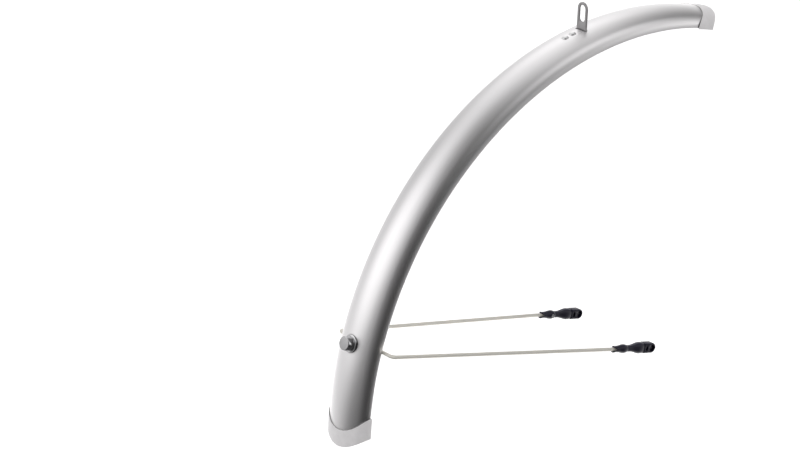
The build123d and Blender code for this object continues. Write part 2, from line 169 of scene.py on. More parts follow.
class ClipSettings(PropertyGroup):
    """Sizes of the breakaway clips, along the stay's leg from the eyelet."""
    mouth: FloatProperty(
        name="Mouth", description="Eyelet to the sleeve's mouth", default=0.05355, unit="LENGTH")
    sleeve_front: FloatProperty(
        name="Sleeve front", description="Eyelet to the sleeve's front", default=0.03435, unit="LENGTH")
    mouth_width: FloatProperty(
        name="Mouth width", description="Across the mouth", default=0.0066, unit="LENGTH")
    bulge: FloatProperty(
        name="Bulge", description="Widest part of the sleeve", default=0.0092, unit="LENGTH")
    notch: FloatProperty(
        name="Notch", description="Depth of the V cut in the mouth", default=0.0036, unit="LENGTH")
    plug_back: FloatProperty(
        name="Plug back", description="Eyelet to the plug's neck end", default=0.0343, unit="LENGTH")
    plug_face: FloatProperty(
        name="Plug face", description="Eyelet to the plug's face", default=0.0117, unit="LENGTH")
    neck: FloatProperty(name="Neck", description="Across the plug's neck", default=0.0064, unit="LENGTH")
    flare_height: FloatProperty(
        name="Flare height", description="Plug at its tallest", default=0.0114, unit="LENGTH")
    flare_thickness: FloatProperty(
        name="Flare thickness", description="Plug at its thickest", default=0.009, unit="LENGTH")
    base_edge: FloatProperty(
        name="Base edge", description="Rounding of the eyelet block", default=0.0004, unit="LENGTH")


class FinishSettings(PropertyGroup):
    """Colours of the finishes."""
    silver: FloatVectorProperty(
        name="Silver", description="Blade", default=(0.804, 0.790, 0.797), size=3, subtype="COLOR")
    cap: FloatVectorProperty(
        name="Cap", description="End caps", default=(0.775, 0.757, 0.766), size=3, subtype="COLOR")
    # Painted highlight: colour of the brighter metallic finish on the rim of each cap's lip
    lip: FloatVectorProperty(
        name="Cap lip", description="Bright rim of each cap's lip", default=(0.95, 0.94, 0.94), size=3,
        subtype="COLOR")
    steel: FloatVectorProperty(
        name="Steel", description="Bracket and plate", default=(0.36, 0.35, 0.355), size=3, subtype="COLOR")
    rivet: FloatVectorProperty(
        name="Rivet", description="Rivets", default=(0.78, 0.78, 0.78), size=3, subtype="COLOR")
    chrome: FloatVectorProperty(
        name="Chrome", description="Stay bolt and cup", default=(0.56, 0.56, 0.57), size=3, subtype="COLOR")
    face: FloatVectorProperty(
        name="Bolt face", description="Turned end of the stay bolt", default=(0.42, 0.415, 0.42), size=3,
        subtype="COLOR")
    zinc: FloatVectorProperty(
        name="Zinc", description="Nut and clamp screws", default=(0.60, 0.60, 0.61), size=3,
        subtype="COLOR")
    stay: FloatVectorProperty(
        name="Stay", description="Drawn wire", default=(0.76, 0.74, 0.69), size=3, subtype="COLOR")
    plastic: FloatVectorProperty(
        name="Plastic", description="Clips", default=(0.011, 0.009, 0.030), size=3, subtype="COLOR")
    rubber: FloatVectorProperty(
        name="Rubber", description="Pad under the bolt", default=(0.03, 0.03, 0.03), size=3,
        subtype="COLOR")


class StageSettings(PropertyGroup):
    """Floor, light and camera."""
    camera_place: FloatVectorProperty(
        name="Camera", description="Where the camera stands", default=(-2.108526, -2.168778, 0.930387),
        size=3, subtype="TRANSLATION")
    camera_turn: FloatVectorProperty(
        name="Turn", description="How the camera is turned", default=(1.2037206, -0.0387207, -0.7001593),
        size=3, subtype="EULER")
    lens: FloatProperty(name="Lens", description="Focal length in millimetres", default=144.9)
    floor_size: FloatProperty(name="Floor", description="Side of the floor", default=30.0, unit="LENGTH")
    ambient: FloatProperty(name="Ambient", description="Light from all round", default=0.034)
    fill: FloatProperty(name="Fill", description="Power of the fill light on caps and stay", default=1.41)
    floor_glow: FloatProperty(
        name="Floor glow", description="Light that keeps the floor pale", default=0.55)


# Mesh helpers

def deselect():
    bpy.ops.object.select_all(action="DESELECT")


def activate(piece):
    deselect()
    piece.select_set(True)
    bpy.context.view_layer.objects.active = piece


def edit(piece):
    """Opens a piece in edit mode with all of it selected."""
    activate(piece)
    bpy.ops.object.mode_set(mode="EDIT")
    bpy.ops.mesh.select_mode(type="VERT")
    bpy.ops.mesh.select_all(action="SELECT")


def done():
    bpy.ops.object.mode_set(mode="OBJECT")


def pick(piece, test):
    """Selects the vertices that pass a test, and leaves the piece in edit mode."""
    edit(piece)
    bpy.ops.mesh.select_all(action="DESELECT")
    done()
    for vertex in piece.data.vertices:
        vertex.select = test(vertex.co)
    bpy.ops.object.mode_set(mode="EDIT")


SEED_SIZE = 0.01


class Pen:
    """Draws an outline from one vertex, a merged plane: lines by extruding, arcs by spinning."""

    def __init__(self, name, point):
        deselect()
        bpy.ops.mesh.primitive_plane_add(size=SEED_SIZE)
        self.piece = bpy.context.object
        self.piece.name = self.piece.data.name = name
        edit(self.piece)
        bpy.ops.mesh.merge(type="CENTER")
        bpy.ops.transform.translate(value=point)
        self.at = Vector(point)

    def line(self, *points):
        for point in points:
            step = Vector(point) - self.at
            bpy.ops.mesh.extrude_region_move(TRANSFORM_OT_translate={"value": step})
            self.at = Vector(point)
        return self

    def arc(self, centre, axis, angle, steps):
        bpy.ops.mesh.spin(steps=steps, angle=-angle, center=centre, axis=axis)
        self.at = Vector(centre) + Matrix.Rotation(angle, 3, axis) @ (self.at - Vector(centre))
        return self

    def close(self):
        bpy.ops.mesh.select_all(action="SELECT")
        bpy.ops.mesh.remove_doubles(threshold=MERGE)
        return self


def tidy(piece, smooth):
    """Merges, turns faces outwards and smooths all but the sharp edges."""
    edit(piece)
    bpy.ops.mesh.remove_doubles(threshold=MERGE)
    bpy.ops.mesh.normals_make_consistent(inside=False)
    done()
    activate(piece)
    bpy.ops.object.shade_smooth_by_angle(angle=smooth)
    return piece


def round_edges(piece, width):
    """Rounds all but the shallow edges."""
    activate(piece)
    bpy.ops.object.modifier_add(type="BEVEL")
    bevel = piece.modifiers[-1]
    bevel.width = width
    bevel.segments = EDGE_STEPS
    bevel.limit_method = "ANGLE"
    bevel.angle_limit = EDGE_SMOOTH
    bevel.use_clamp_overlap = True
    bpy.ops.object.modifier_apply(modifier=bevel.name)


def cut(piece, cutter):
    """Takes a cutter's volume out of a piece and removes the cutter."""
    activate(piece)
    bpy.ops.object.modifier_add(type="BOOLEAN")
    boolean = piece.modifiers[-1]
    boolean.operation = "DIFFERENCE"
    boolean.solver = "EXACT"
    boolean.object = cutter
    bpy.ops.object.modifier_apply(modifier=boolean.name)
    bpy.data.objects.remove(cutter)


def place(piece, matrix):
    """Puts a piece that was drawn at the origin in its place, with the place in its mesh."""
    activate(piece)
    piece.matrix_world = matrix
    bpy.ops.object.transform_apply(location=True, rotation=True, scale=True)
    return piece


def solid_copy(node, name):
    """A merged copy of a CAD node's mesh."""
    piece = bpy.data.objects.new(name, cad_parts[node].data.copy())
    bpy.context.scene.collection.objects.link(piece)
    piece.data.name = name
    activate(piece)
    bpy.ops.mesh.customdata_custom_splitnormals_clear()
    edit(piece)
    bpy.ops.mesh.remove_doubles(threshold=CAD_MERGE)
    bpy.ops.mesh.dissolve_limited(angle_limit=FLAT_ANGLE)
    done()
    return piece


def across_copy(piece, name):
    """The same piece on the wheel's other side."""
    twin = piece.copy()
    twin.data = piece.data.copy()
    twin.name = twin.data.name = name
    bpy.context.scene.collection.objects.link(twin)
    twin.data.transform(Matrix.Scale(-1, 4, (0, 1, 0)))
    edit(twin)
    bpy.ops.mesh.flip_normals()
    done()
    return twin


def settle(piece, material, slot, *nodes):
    """Gives a piece its finish, and its place in the frame."""
    piece.data.materials.clear()
    piece.data.materials.append(material)
    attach(piece, "root")
    if nodes:
        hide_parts(*nodes)


def dress(node, material):
    """Gives a CAD node that keeps its shape a finish."""
    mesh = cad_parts[node].data
    mesh.materials.clear()
    mesh.materials.append(material)


# Places on the blade

def outward(angle):
    return Vector((math.cos(angle), 0, math.sin(angle)))


def onward(angle):
    return Vector((-math.sin(angle), 0, math.cos(angle)))


def spot(angle, y, radius):
    """A point on the section of the blade at an angle."""
    return AXLE + outward(angle) * radius + Vector((0, y, 0))


def seat(angle, radius, sense=1):
    """Frame on the blade: x along the axle, z away from the wheel, or towards it."""
    z = outward(angle) * sense
    x = Vector((0, 1, 0))
    turn = Matrix((x, z.cross(x), z)).transposed().to_4x4()
    return Matrix.Translation(AXLE + outward(angle) * radius) @ turn


def arch(pen, angle, blade, inset, way):
    """Shoulder, crown and shoulder of the section; way is 1 towards +Y and -1 back."""
    half = blade.width / 2
    shoulder_y = half - blade.shoulder
    shoulder_r = blade.rim_radius + blade.side
    rise = blade.depth - blade.side
    crown = (shoulder_y**2 + rise**2 - blade.shoulder**2) / (2 * (rise - blade.shoulder))
    crown_r = blade.rim_radius + blade.depth - crown
    lean = math.atan2(shoulder_y, shoulder_r - crown_r)
    axis = onward(angle) * way
    pen.line(spot(angle, -way * (half - inset), shoulder_r))
    pen.arc(spot(angle, -way * shoulder_y, shoulder_r), axis, math.pi / 2 - lean, SHOULDER_STEPS)
    pen.arc(spot(angle, 0, crown_r), axis, 2 * lean, CROWN_STEPS)
    pen.arc(spot(angle, way * shoulder_y, shoulder_r), axis, math.pi / 2 - lean, SHOULDER_STEPS)


def section(name, angle, blade, grow):
    """Closed section of the blade with its folded hems, swelled by grow."""
    half = blade.width / 2
    foot = blade.rim_radius - grow
    hem_in = half - blade.hem_width - grow
    hem_top = blade.rim_radius + min(blade.hem_height + grow, blade.side)
    inner = half - blade.wall - grow
    pen = Pen(name, spot(angle, -half - grow, foot))
    arch(pen, angle, blade, -grow, 1)
    pen.line(spot(angle, half + grow, foot), spot(angle, hem_in, foot))
    pen.line(spot(angle, hem_in, hem_top), spot(angle, inner, hem_top))
    arch(pen, angle, blade, blade.wall + grow, -1)
    pen.line(spot(angle, -inner, hem_top), spot(angle, -hem_in, hem_top))
    pen.line(spot(angle, -hem_in, foot), spot(angle, -half - grow, foot))
    return pen.close().piece


def turn_of(co):
    """Angle of a point round the axle."""
    return math.atan2(co.z - AXLE.z, co.x - AXLE.x) % math.tau


def swing(piece, start, sweep, steps):
    """Sweeps a closed section round the axle and closes both ends."""
    edit(piece)
    bpy.ops.mesh.spin(steps=steps, angle=-sweep, center=AXLE, axis=(0, -1, 0))
    done()
    for end in (start, start + sweep):
        pick(piece, lambda co: abs(turn_of(co) - end) < END_WINDOW)
        bpy.ops.mesh.edge_face_add()
        done()
    edit(piece)
    bpy.ops.mesh.normals_make_consistent(inside=False)
    done()


BLOCK_OVERHANG = 0.004
BLOCK_DEPTH = 0.04


def bowed_block(name, angle, sense, setback, bow, far, blade):
    """Block with one bowed side across the blade, reaching from that line to a far line."""
    radius = blade.rim_radius + blade.depth
    reach = blade.width / 2 + BLOCK_OVERHANG
    drop = bow * (reach / (blade.width / 2)) ** 2
    round_r = (reach**2 + drop**2) / (2 * drop)
    half = math.asin(reach / round_r)
    low = -BLOCK_DEPTH
    pen = Pen(name, (-reach, -setback - drop, low))
    pen.arc((0, -setback - round_r, low), (0, 0, 1), -2 * half, BOW_STEPS)
    pen.line((reach, far, low), (-reach, far, low), (-reach, -setback - drop, low)).close()
    bpy.ops.mesh.edge_face_add()
    bpy.ops.mesh.extrude_region_move(TRANSFORM_OT_translate={"value": (0, 0, 2 * BLOCK_DEPTH)})
    bpy.ops.mesh.select_all(action="SELECT")
    bpy.ops.mesh.normals_make_consistent(inside=False)
    done()
    return place(pen.piece, seat(angle, radius, sense))


def turned(name, outline, rounding=0):
    """A piece turned on a lathe round Z from (radius, height) points, its corners rounded when a rounding is
    given.
    """
    points = [(r, 0, z) for r, z in outline]
    pen = Pen(name, points[0]).line(*points[1:])
    piece = pen.piece
    if rounding:
        done()
        pick(piece, lambda co: co.x > ON_AXIS)
        bpy.ops.mesh.bevel(offset=rounding, offset_type="OFFSET", segments=CORNER_STEPS, affect="VERTICES",
                           clamp_overlap=True)
    bpy.ops.mesh.select_all(action="SELECT")
    bpy.ops.mesh.spin(steps=LATHE_STEPS, angle=math.tau, center=(0, 0, 0), axis=(0, 0, 1))
    done()
    return tidy(piece, TURNED_SMOOTH)


# Finishes

GRAIN_ROUGHNESS = 0.55
STREAK_DETAIL = 4.0
STREAK_SHARE = 0.5
NOISE_LOW, NOISE_HIGH = 0.25, 0.75
BUMP_DEPTH = 0.0001
# Painted shade in crevices: ambient occlusion samples, the occlusion range from dark to clear, the least share
# of the base colour kept, and below it the shade's colour
NOOK_SAMPLES = 12
NOOK_DARK, NOOK_CLEAR = 0.55, 0.92
NOOK_LEAST = 0.30
PAINTED_SHADE_COLOUR = (0.01, 0.01, 0.01, 1)
DULL_SPECULAR = 0.38


def socket(group, name, side, kind="NodeSocketFloat", default=None):
    item = group.interface.new_socket(name=name, in_out=side, socket_type=kind)
    if default is not None:
        item.default_value = default


def grain_group():
    """Fine grain and broad clouding from one vector."""
    if "surface_grain" in bpy.data.node_groups:
        return bpy.data.node_groups["surface_grain"]
    group = bpy.data.node_groups.new("surface_grain", "ShaderNodeTree")
    socket(group, "Vector", "INPUT", "NodeSocketVector")
    socket(group, "Fine Scale", "INPUT", default=900.0)
    socket(group, "Broad Scale", "INPUT", default=14.0)
    socket(group, "Fine", "OUTPUT")
    socket(group, "Broad", "OUTPUT")
    nodes, links = group.nodes, group.links
    start = nodes.new("NodeGroupInput")
    end = nodes.new("NodeGroupOutput")
    for detail, scale, out in ((6.0, "Fine Scale", "Fine"), (3.0, "Broad Scale", "Broad")):
        noise = nodes.new("ShaderNodeTexNoise")
        noise.inputs["Detail"].default_value = detail
        noise.inputs["Roughness"].default_value = GRAIN_ROUGHNESS
        links.new(start.outputs["Vector"], noise.inputs["Vector"])
        links.new(start.outputs[scale], noise.inputs["Scale"])
        links.new(noise.outputs["Fac"], end.inputs[out])
    return group


def drawn_group():
    """Streaks that follow the blade round the axle."""
    if "drawn_streaks" in bpy.data.node_groups:
        return bpy.data.node_groups["drawn_streaks"]
    group = bpy.data.node_groups.new("drawn_streaks", "ShaderNodeTree")
    socket(group, "Vector", "INPUT", "NodeSocketVector")
    socket(group, "Along", "INPUT", default=6.0)
    socket(group, "Across", "INPUT", default=700.0)
    socket(group, "Streak", "OUTPUT")
    nodes, links = group.nodes, group.links
    start = nodes.new("NodeGroupInput")
    end = nodes.new("NodeGroupOutput")
    shift = nodes.new("ShaderNodeVectorMath")
    shift.operation = "SUBTRACT"
    shift.inputs[1].default_value = AXLE
    parts = nodes.new("ShaderNodeSeparateXYZ")
    turn = nodes.new("ShaderNodeMath")
    turn.operation = "ARCTAN2"
    along = nodes.new("ShaderNodeMath")
    along.operation = "MULTIPLY"
    length = nodes.new("ShaderNodeVectorMath")
    length.operation = "LENGTH"
    across = nodes.new("ShaderNodeMath")
    across.operation = "MULTIPLY"
    level = nodes.new("ShaderNodeMath")
    level.operation = "MULTIPLY"
    join = nodes.new("ShaderNodeCombineXYZ")
    noise = nodes.new("ShaderNodeTexNoise")
    noise.inputs["Scale"].default_value = 1.0
    noise.inputs["Detail"].default_value = STREAK_DETAIL
    links.new(start.outputs["Vector"], shift.inputs[0])
    links.new(shift.outputs["Vector"], parts.inputs["Vector"])
    links.new(parts.outputs["Z"], turn.inputs[0])
    links.new(parts.outputs["X"], turn.inputs[1])
    links.new(turn.outputs[0], along.inputs[0])
    links.new(start.outputs["Along"], along.inputs[1])
    links.new(parts.outputs["Y"], across.inputs[0])
    links.new(start.outputs["Across"], across.inputs[1])
    links.new(shift.outputs["Vector"], length.inputs[0])
    links.new(length.outputs["Value"], level.inputs[0])
    links.new(start.outputs["Across"], level.inputs[1])
    links.new(along.outputs[0], join.inputs["X"])
    links.new(across.outputs[0], join.inputs["Y"])
    links.new(level.outputs[0], join.inputs["Z"])
    links.new(join.outputs["Vector"], noise.inputs["Vector"])
    links.new(noise.outputs["Fac"], end.inputs["Streak"])
    return group


def ranged(nodes, links, value, low, high):
    """The middle part of a noise value, spread between two limits."""
    spread = nodes.new("ShaderNodeMapRange")
    spread.inputs["From Min"].default_value = NOISE_LOW
    spread.inputs["From Max"].default_value = NOISE_HIGH
    spread.inputs["To Min"].default_value = low
    spread.inputs["To Max"].default_value = high
    links.new(value, spread.inputs["Value"])
    return spread.outputs["Result"]


def finish(name, colour, metallic, rough, bump, fine, broad, shade,
           stretch=(1, 1, 1), streaks=None, shade_reach=0):
    """A material with grained roughness and bump and softly clouded colour, with painted shade if asked:
    ambient occlusion darkens the base colour in crevices and next to steps.
    """
    if name in bpy.data.materials:
        return bpy.data.materials[name]
    material = bpy.data.materials.new(name)
    material.use_nodes = True
    nodes, links = material.node_tree.nodes, material.node_tree.links
    shader = nodes["Principled BSDF"]
    shader.inputs["Metallic"].default_value = metallic
    where = nodes.new("ShaderNodeTexCoord")
    mapping = nodes.new("ShaderNodeMapping")
    mapping.inputs["Scale"].default_value = stretch
    grain = nodes.new("ShaderNodeGroup")
    grain.node_tree = grain_group()
    grain.inputs["Fine Scale"].default_value = fine
    grain.inputs["Broad Scale"].default_value = broad
    links.new(where.outputs["Object"], mapping.inputs["Vector"])
    links.new(mapping.outputs["Vector"], grain.inputs["Vector"])
    height = grain.outputs["Fine"]
    if streaks:
        drawn = nodes.new("ShaderNodeGroup")
        drawn.node_tree = drawn_group()
        drawn.inputs["Along"].default_value = streaks[0]
        drawn.inputs["Across"].default_value = streaks[1]
        links.new(where.outputs["Object"], drawn.inputs["Vector"])
        blend = nodes.new("ShaderNodeMix")
        blend.inputs["Factor"].default_value = STREAK_SHARE
        links.new(grain.outputs["Fine"], blend.inputs["A"])
        links.new(drawn.outputs["Streak"], blend.inputs["B"])
        height = blend.outputs["Result"]
    links.new(ranged(nodes, links, height, rough[0], rough[1]), shader.inputs["Roughness"])
    tint = nodes.new("ShaderNodeMix")
    tint.data_type = "RGBA"
    tint.inputs["A"].default_value = (*[c * (1 - shade) for c in colour], 1)
    tint.inputs["B"].default_value = (*[min(1, c * (1 + shade)) for c in colour], 1)
    links.new(ranged(nodes, links, grain.outputs["Broad"], 0.0, 1.0), tint.inputs["Factor"])
    links.new(tint.outputs["Result"], shader.inputs["Base Color"])
    # Painted shade: ambient occlusion darkens the base colour in crevices and next to steps, where shade falls
    if shade_reach:
        nook = nodes.new("ShaderNodeAmbientOcclusion")
        nook.samples = NOOK_SAMPLES
        nook.inputs["Distance"].default_value = shade_reach
        shade_share = nodes.new("ShaderNodeMapRange")
        shade_share.inputs["From Min"].default_value = NOOK_DARK
        shade_share.inputs["From Max"].default_value = NOOK_CLEAR
        shade_share.inputs["To Min"].default_value = NOOK_LEAST
        links.new(nook.outputs["AO"], shade_share.inputs["Value"])
        painted_shade_mix = nodes.new("ShaderNodeMix")
        painted_shade_mix.data_type = "RGBA"
        painted_shade_mix.inputs["A"].default_value = PAINTED_SHADE_COLOUR
        links.new(shade_share.outputs["Result"], painted_shade_mix.inputs["Factor"])
        links.new(tint.outputs["Result"], painted_shade_mix.inputs["B"])
        links.new(painted_shade_mix.outputs["Result"], shader.inputs["Base Color"])
    relief = nodes.new("ShaderNodeBump")
    relief.inputs["Strength"].default_value = bump
    relief.inputs["Distance"].default_value = BUMP_DEPTH
    links.new(height, relief.inputs["Height"])
    links.new(relief.outputs["Normal"], shader.inputs["Normal"])
    return material


def silver_finish(colours):
    # The blade's finish paints shade into crevices and beside steps within 3 mm, such as next to the caps'
    # lips, the cup and the rivets
    return finish("satin_silver", colours.silver, metallic=1.0, rough=(0.38, 0.45), bump=0.12,
                  fine=2600, broad=9, shade=0.02, streaks=(5, 900), shade_reach=0.003)


def cap_finish(colours):
    return finish("moulded_silver", colours.cap, metallic=0.0, rough=(0.42, 0.55), bump=0.25,
                  fine=1500, broad=120, shade=0.05)


# Painted highlight on the rim of each cap's lip
def lip_highlight_finish(colours):
    return finish("lip_painted_highlight", colours.lip, metallic=1.0, rough=(0.20, 0.30), bump=0.1,
                  fine=3000, broad=40, shade=0.02)


def steel_finish(colours):
    return finish("pressed_steel", colours.steel, metallic=1.0, rough=(0.30, 0.50), bump=0.3,
                  fine=1500, broad=90, shade=0.10, stretch=(1, 1, 0.15))


def rivet_finish(colours):
    return finish("domed_rivet", colours.rivet, metallic=1.0, rough=(0.30, 0.45), bump=0.2,
                  fine=2000, broad=200, shade=0.08)


def chrome_finish(colours):
    return finish("polished_chrome", colours.chrome, metallic=1.0, rough=(0.03, 0.09), bump=0.02,
                  fine=1200, broad=150, shade=0.02)


def face_finish(colours):
    return finish("turned_face", colours.face, metallic=1.0, rough=(0.28, 0.40), bump=0.15,
                  fine=1500, broad=220, shade=0.06)


def zinc_finish(colours):
    return finish("zinc_plate", colours.zinc, metallic=1.0, rough=(0.30, 0.45), bump=0.25,
                  fine=2500, broad=300, shade=0.10)


def stay_finish(colours):
    return finish("drawn_wire", colours.stay, metallic=1.0, rough=(0.60, 0.70), bump=0.2,
                  fine=1800, broad=25, shade=0.05, stretch=(0.05, 1, 1))


def plastic_finish(colours):
    material = finish("grained_black", colours.plastic, metallic=0.0, rough=(0.36, 0.50), bump=0.35,
                      fine=2200, broad=60, shade=0.25)
    material.node_tree.nodes["Principled BSDF"].inputs["Specular IOR Level"].default_value = DULL_SPECULAR
    return material


def rubber_finish(colours):
    return finish("matt_rubber", colours.rubber, metallic=0.0, rough=(0.65, 0.85), bump=0.5,
                  fine=1600, broad=80, shade=0.2)


# Pieces

BRACKET_CUT_PLACE = (-0.00075, 0, -0.0161)
BRACKET_CUT_SIZE = (0.0033, 0.0142, 0.036)


class MUDGUARD_OT_blade(Operator):
    """Arched blade: a hemmed section swept round the axle, slotted for the bracket"""
    bl_idname = "mudguard.blade"
    bl_label = "Blade"

    def execute(self, context):
        blade = context.scene.mudguard_blade
        tuck = blade.tucked / (blade.rim_radius + blade.depth)
        start = blade.upper_tip + tuck
        piece = section("silver_blade", start, blade, 0)
        done()
        rim = blade.rim_radius + RIM_WINDOW
        pick(piece, lambda co: math.hypot(co.x - AXLE.x, co.z - AXLE.z) < rim)
        bpy.ops.mesh.bevel(offset=blade.hem_round, segments=CORNER_STEPS, affect="VERTICES")
        done()
        swing(piece, start, blade.lower_tip - tuck - start, blade.rows)
        deselect()
        bpy.ops.mesh.primitive_cube_add(size=1, location=BRACKET_CUT_PLACE, scale=BRACKET_CUT_SIZE)
        bpy.ops.object.transform_apply(location=True, rotation=True, scale=True)
        cut(piece, context.object)
        tidy(piece, BLADE_SMOOTH)
        settle(piece, silver_finish(context.scene.mudguard_finish), "blade_silver", "blade")
        return {"FINISHED"}


LIP_SPAN = 2.2
TIP_SPARE = 0.004
TIP_TRIM = 0.00003
CUT_AHEAD = 0.03
CUT_BEHIND = -0.12
# Faces of a cap turned at least this much from its tip towards the blade's middle get the painted lip highlight
HIGHLIGHT_FACING = 0.35


class MUDGUARD_OT_end_caps(Operator):
    """Moulded caps over both tips, each with an arched lip"""
    bl_idname = "mudguard.end_caps"
    bl_label = "End caps"

    def execute(self, context):
        blade, cap = context.scene.mudguard_blade, context.scene.mudguard_cap
        back = (cap.lip_setback + LIP_SPAN * cap.lip_bow) / blade.rim_radius
        over = TIP_SPARE / blade.rim_radius
        colours = context.scene.mudguard_finish
        caps = []
        for name, tip, sense in (("upper_cap", blade.upper_tip, -1), ("lower_cap", blade.lower_tip, 1)):
            start = tip - back if sense > 0 else tip - over
            piece = section(name, start, blade, cap.grow)
            done()
            swing(piece, start, back + over, CAP_STEPS)
            cut(piece, bowed_block("tip_cut", tip, sense, TIP_TRIM, cap.tip_bow, CUT_AHEAD, blade))
            cut(piece, bowed_block("lip_cut", tip, sense, cap.lip_setback, cap.lip_bow, CUT_BEHIND, blade))
            gap = section("lip_gap", start, blade, cap.relief)
            done()
            swing(gap, start, back + over, CAP_STEPS)
            setback = cap.lip_setback - cap.relief_depth
            cut(gap, bowed_block("gap_end", tip, sense, setback, cap.lip_bow, CUT_AHEAD, blade))
            cut(piece, gap)
            round_edges(piece, cap.edge)
            tidy(piece, EDGE_SMOOTH)
            self.paint_lip_highlight(piece, -sense * onward(tip), colours)
            caps.append(piece)
        activate(caps[0])
        caps[1].select_set(True)
        bpy.ops.object.join()
        caps[0].name = caps[0].data.name = "silver_end_caps"
        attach(caps[0], "root")
        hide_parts("end_caps")
        return {"FINISHED"}

    def paint_lip_highlight(self, piece, away, colours):
        """Paints a highlight on the rim of the lip: faces turned from the tip towards the blade's middle get a
        brighter metallic finish than the moulding.
        """
        piece.data.materials.clear()
        piece.data.materials.append(cap_finish(colours))
        piece.data.materials.append(lip_highlight_finish(colours))
        for face in piece.data.polygons:
            face.material_index = int(face.normal.dot(away) > HIGHLIGHT_FACING)


SEAT_GAP = 0.00005
RIVET_SHANK = 0.0016
RIVET_GRIP = -0.00315
RIVET_TAIL = 0.0025
RIVET_END = -0.00475


class MUDGUARD_OT_bracket(Operator):
    """Slotted fork bracket with softened edges, and its two rivets"""
    bl_idname = "mudguard.bracket"
    bl_label = "Fork bracket"

    def execute(self, context):
        hard, blade = context.scene.mudguard_hardware, context.scene.mudguard_blade
        colours = context.scene.mudguard_finish
        piece = solid_copy("fork_bracket", "steel_bracket")
        round_edges(piece, hard.bracket_edge)
        tidy(piece, EDGE_SMOOTH)
        settle(piece, steel_finish(colours), "bracket_steel", "fork_bracket")
        head, rise = hard.rivet_head / 2, hard.rivet_rise
        ball = (head**2 + rise**2) / (2 * rise)
        lean = math.asin(head / ball)
        turns = [lean * k / DOME_STEPS for k in range(DOME_STEPS + 1)]
        outline = [(ball * math.sin(t), rise - ball + ball * math.cos(t)) for t in turns]
        outline += [(RIVET_SHANK, 0), (RIVET_SHANK, RIVET_GRIP), (RIVET_TAIL, RIVET_GRIP)]
        outline += [(RIVET_TAIL, RIVET_END), (0, RIVET_END)]
        first = turned("rivet_1", outline)
        second = first.copy()
        second.data = first.data.copy()
        second.name = "rivet_2"
        context.scene.collection.objects.link(second)
        top = blade.rim_radius + blade.depth + SEAT_GAP
        place(first, seat(hard.first_rivet, top))
        place(second, seat(hard.second_rivet, top))
        activate(first)
        second.select_set(True)
        bpy.ops.object.join()
        first.name = first.data.name = "bracket_rivet_pair"
        settle(first, rivet_finish(colours), "rivet_aluminium", "bracket_rivets")
        return {"FINISHED"}


HEAD_GAP = 0.0001
BOLT_SHANK = 0.0025
BOLT_POINT = 0.0022
BOLT_TAPER = -0.0132
BOLT_END = -0.01349
CUP_BORE = 0.00265
CUP_RIM = 0.0007
CUP_RIM_TOP = 0.0010
CUP_RIM_SLOPE = 0.0002
CUP_HOLLOW = 0.0013
CUP_LEDGE = 0.0002
FACE_FACING = 0.9


class MUDGUARD_OT_stay_bolt(Operator):
    """Chrome bolt head on its flanged cup, and what it clamps inside the blade"""
    bl_idname = "mudguard.stay_bolt"
    bl_label = "Stay bolt"

    def execute(self, context):
        hard, blade = context.scene.mudguard_hardware, context.scene.mudguard_blade
        colours = context.scene.mudguard_finish
        top = blade.rim_radius + blade.depth
        base = hard.cup_height + HEAD_GAP
        head = hard.head_width / 2
        tall = base + hard.head_height
        shank = [(BOLT_SHANK, base), (BOLT_SHANK, BOLT_TAPER), (BOLT_POINT, BOLT_END), (0, BOLT_END)]
        soft = hard.head_round
        nose = [(head - soft + soft * math.sin(t), tall - soft + soft * math.cos(t)) for t in QUARTER_TURN]
        bolt = turned("chrome_bolt", [(0, tall)] + nose + [(head, base)] + shank)
        place(bolt, seat(hard.stay_angle, top))
        settle(bolt, chrome_finish(colours), "bright_chrome", "stay_bolt")
        bolt.data.materials.append(face_finish(colours))
        for face in bolt.data.polygons:
            face.material_index = int(face.normal.dot(outward(hard.stay_angle)) > FACE_FACING)
        rim = hard.cup_width / 2
        neck, hollow = head + CUP_LEDGE, CUP_HOLLOW
        flank = [(neck + hollow - hollow * math.cos(t), hard.cup_height - hollow * math.sin(t))
                 for t in QUARTER_TURN]
        outline = [(CUP_BORE, SEAT_GAP), (rim, SEAT_GAP), (rim, CUP_RIM), (rim - CUP_RIM_SLOPE, CUP_RIM_TOP)]
        outline += flank[::-1] + [(CUP_BORE, hard.cup_height), (CUP_BORE, SEAT_GAP)]
        cup = turned("chrome_cup", outline)
        place(cup, seat(hard.stay_angle, top))
        settle(cup, chrome_finish(colours), "bright_chrome", "cup_washer")
        dress("saddle_pad", rubber_finish(colours))
        dress("clamp_plate", steel_finish(colours))
        dress("stay_nut", zinc_finish(colours))
        return {"FINISHED"}


class MUDGUARD_OT_stay_wire(Operator):
    """Bent wire stay, smooth along its bends"""
    bl_idname = "mudguard.stay_wire"
    bl_label = "Stay wire"

    def execute(self, context):
        piece = solid_copy("stay_wire", "steel_stay")
        tidy(piece, WIRE_SMOOTH)
        settle(piece, stay_finish(context.scene.mudguard_finish), "stay_steel", "stay_wire")
        return {"FINISHED"}


# Sleeve's outline as (radius, place along) from its mouth's edge, its bulge and the middle of its mouth
SLEEVE_MOUTH = ((0.0002, 0), (-0.0001, 0.0035), (0.0002, 0.008))
SLEEVE_BULGE = ((-0.0002, -0.0068), (0, -0.0046), (-0.0004, -0.0018), (-0.0012, 0))
SLEEVE_BORE = 0.00195
SLEEVE_HOLE = ((SLEEVE_BORE, 0.005), (0.0024, 0.0046), (0.0026, 0))
SLEEVE_ROUND = 0.00035
NOTCH_EDGE = 0.0012
NOTCH_STEPS = 6
NOTCH_DEGREES = 8

# Plug: share of the neck that its corners take, straight ends, flare, and its face's round as (inset, thinning)
PLUG_CORNER = 0.36
PLUG_CORNER_STEPS = 6
PLUG_STRAIGHT = 0.0045
FLARE_STATIONS = 8
PLUG_END = ((0.0012, 0.0004), (0.0004, 0.0009), (0, 0.0016))
SPIGOT_WIDTH = 0.0052
SPIGOT_LENGTH = 0.0055
SPIGOT_TIP = 0.0004
SPIGOT_TAPER = 0.85


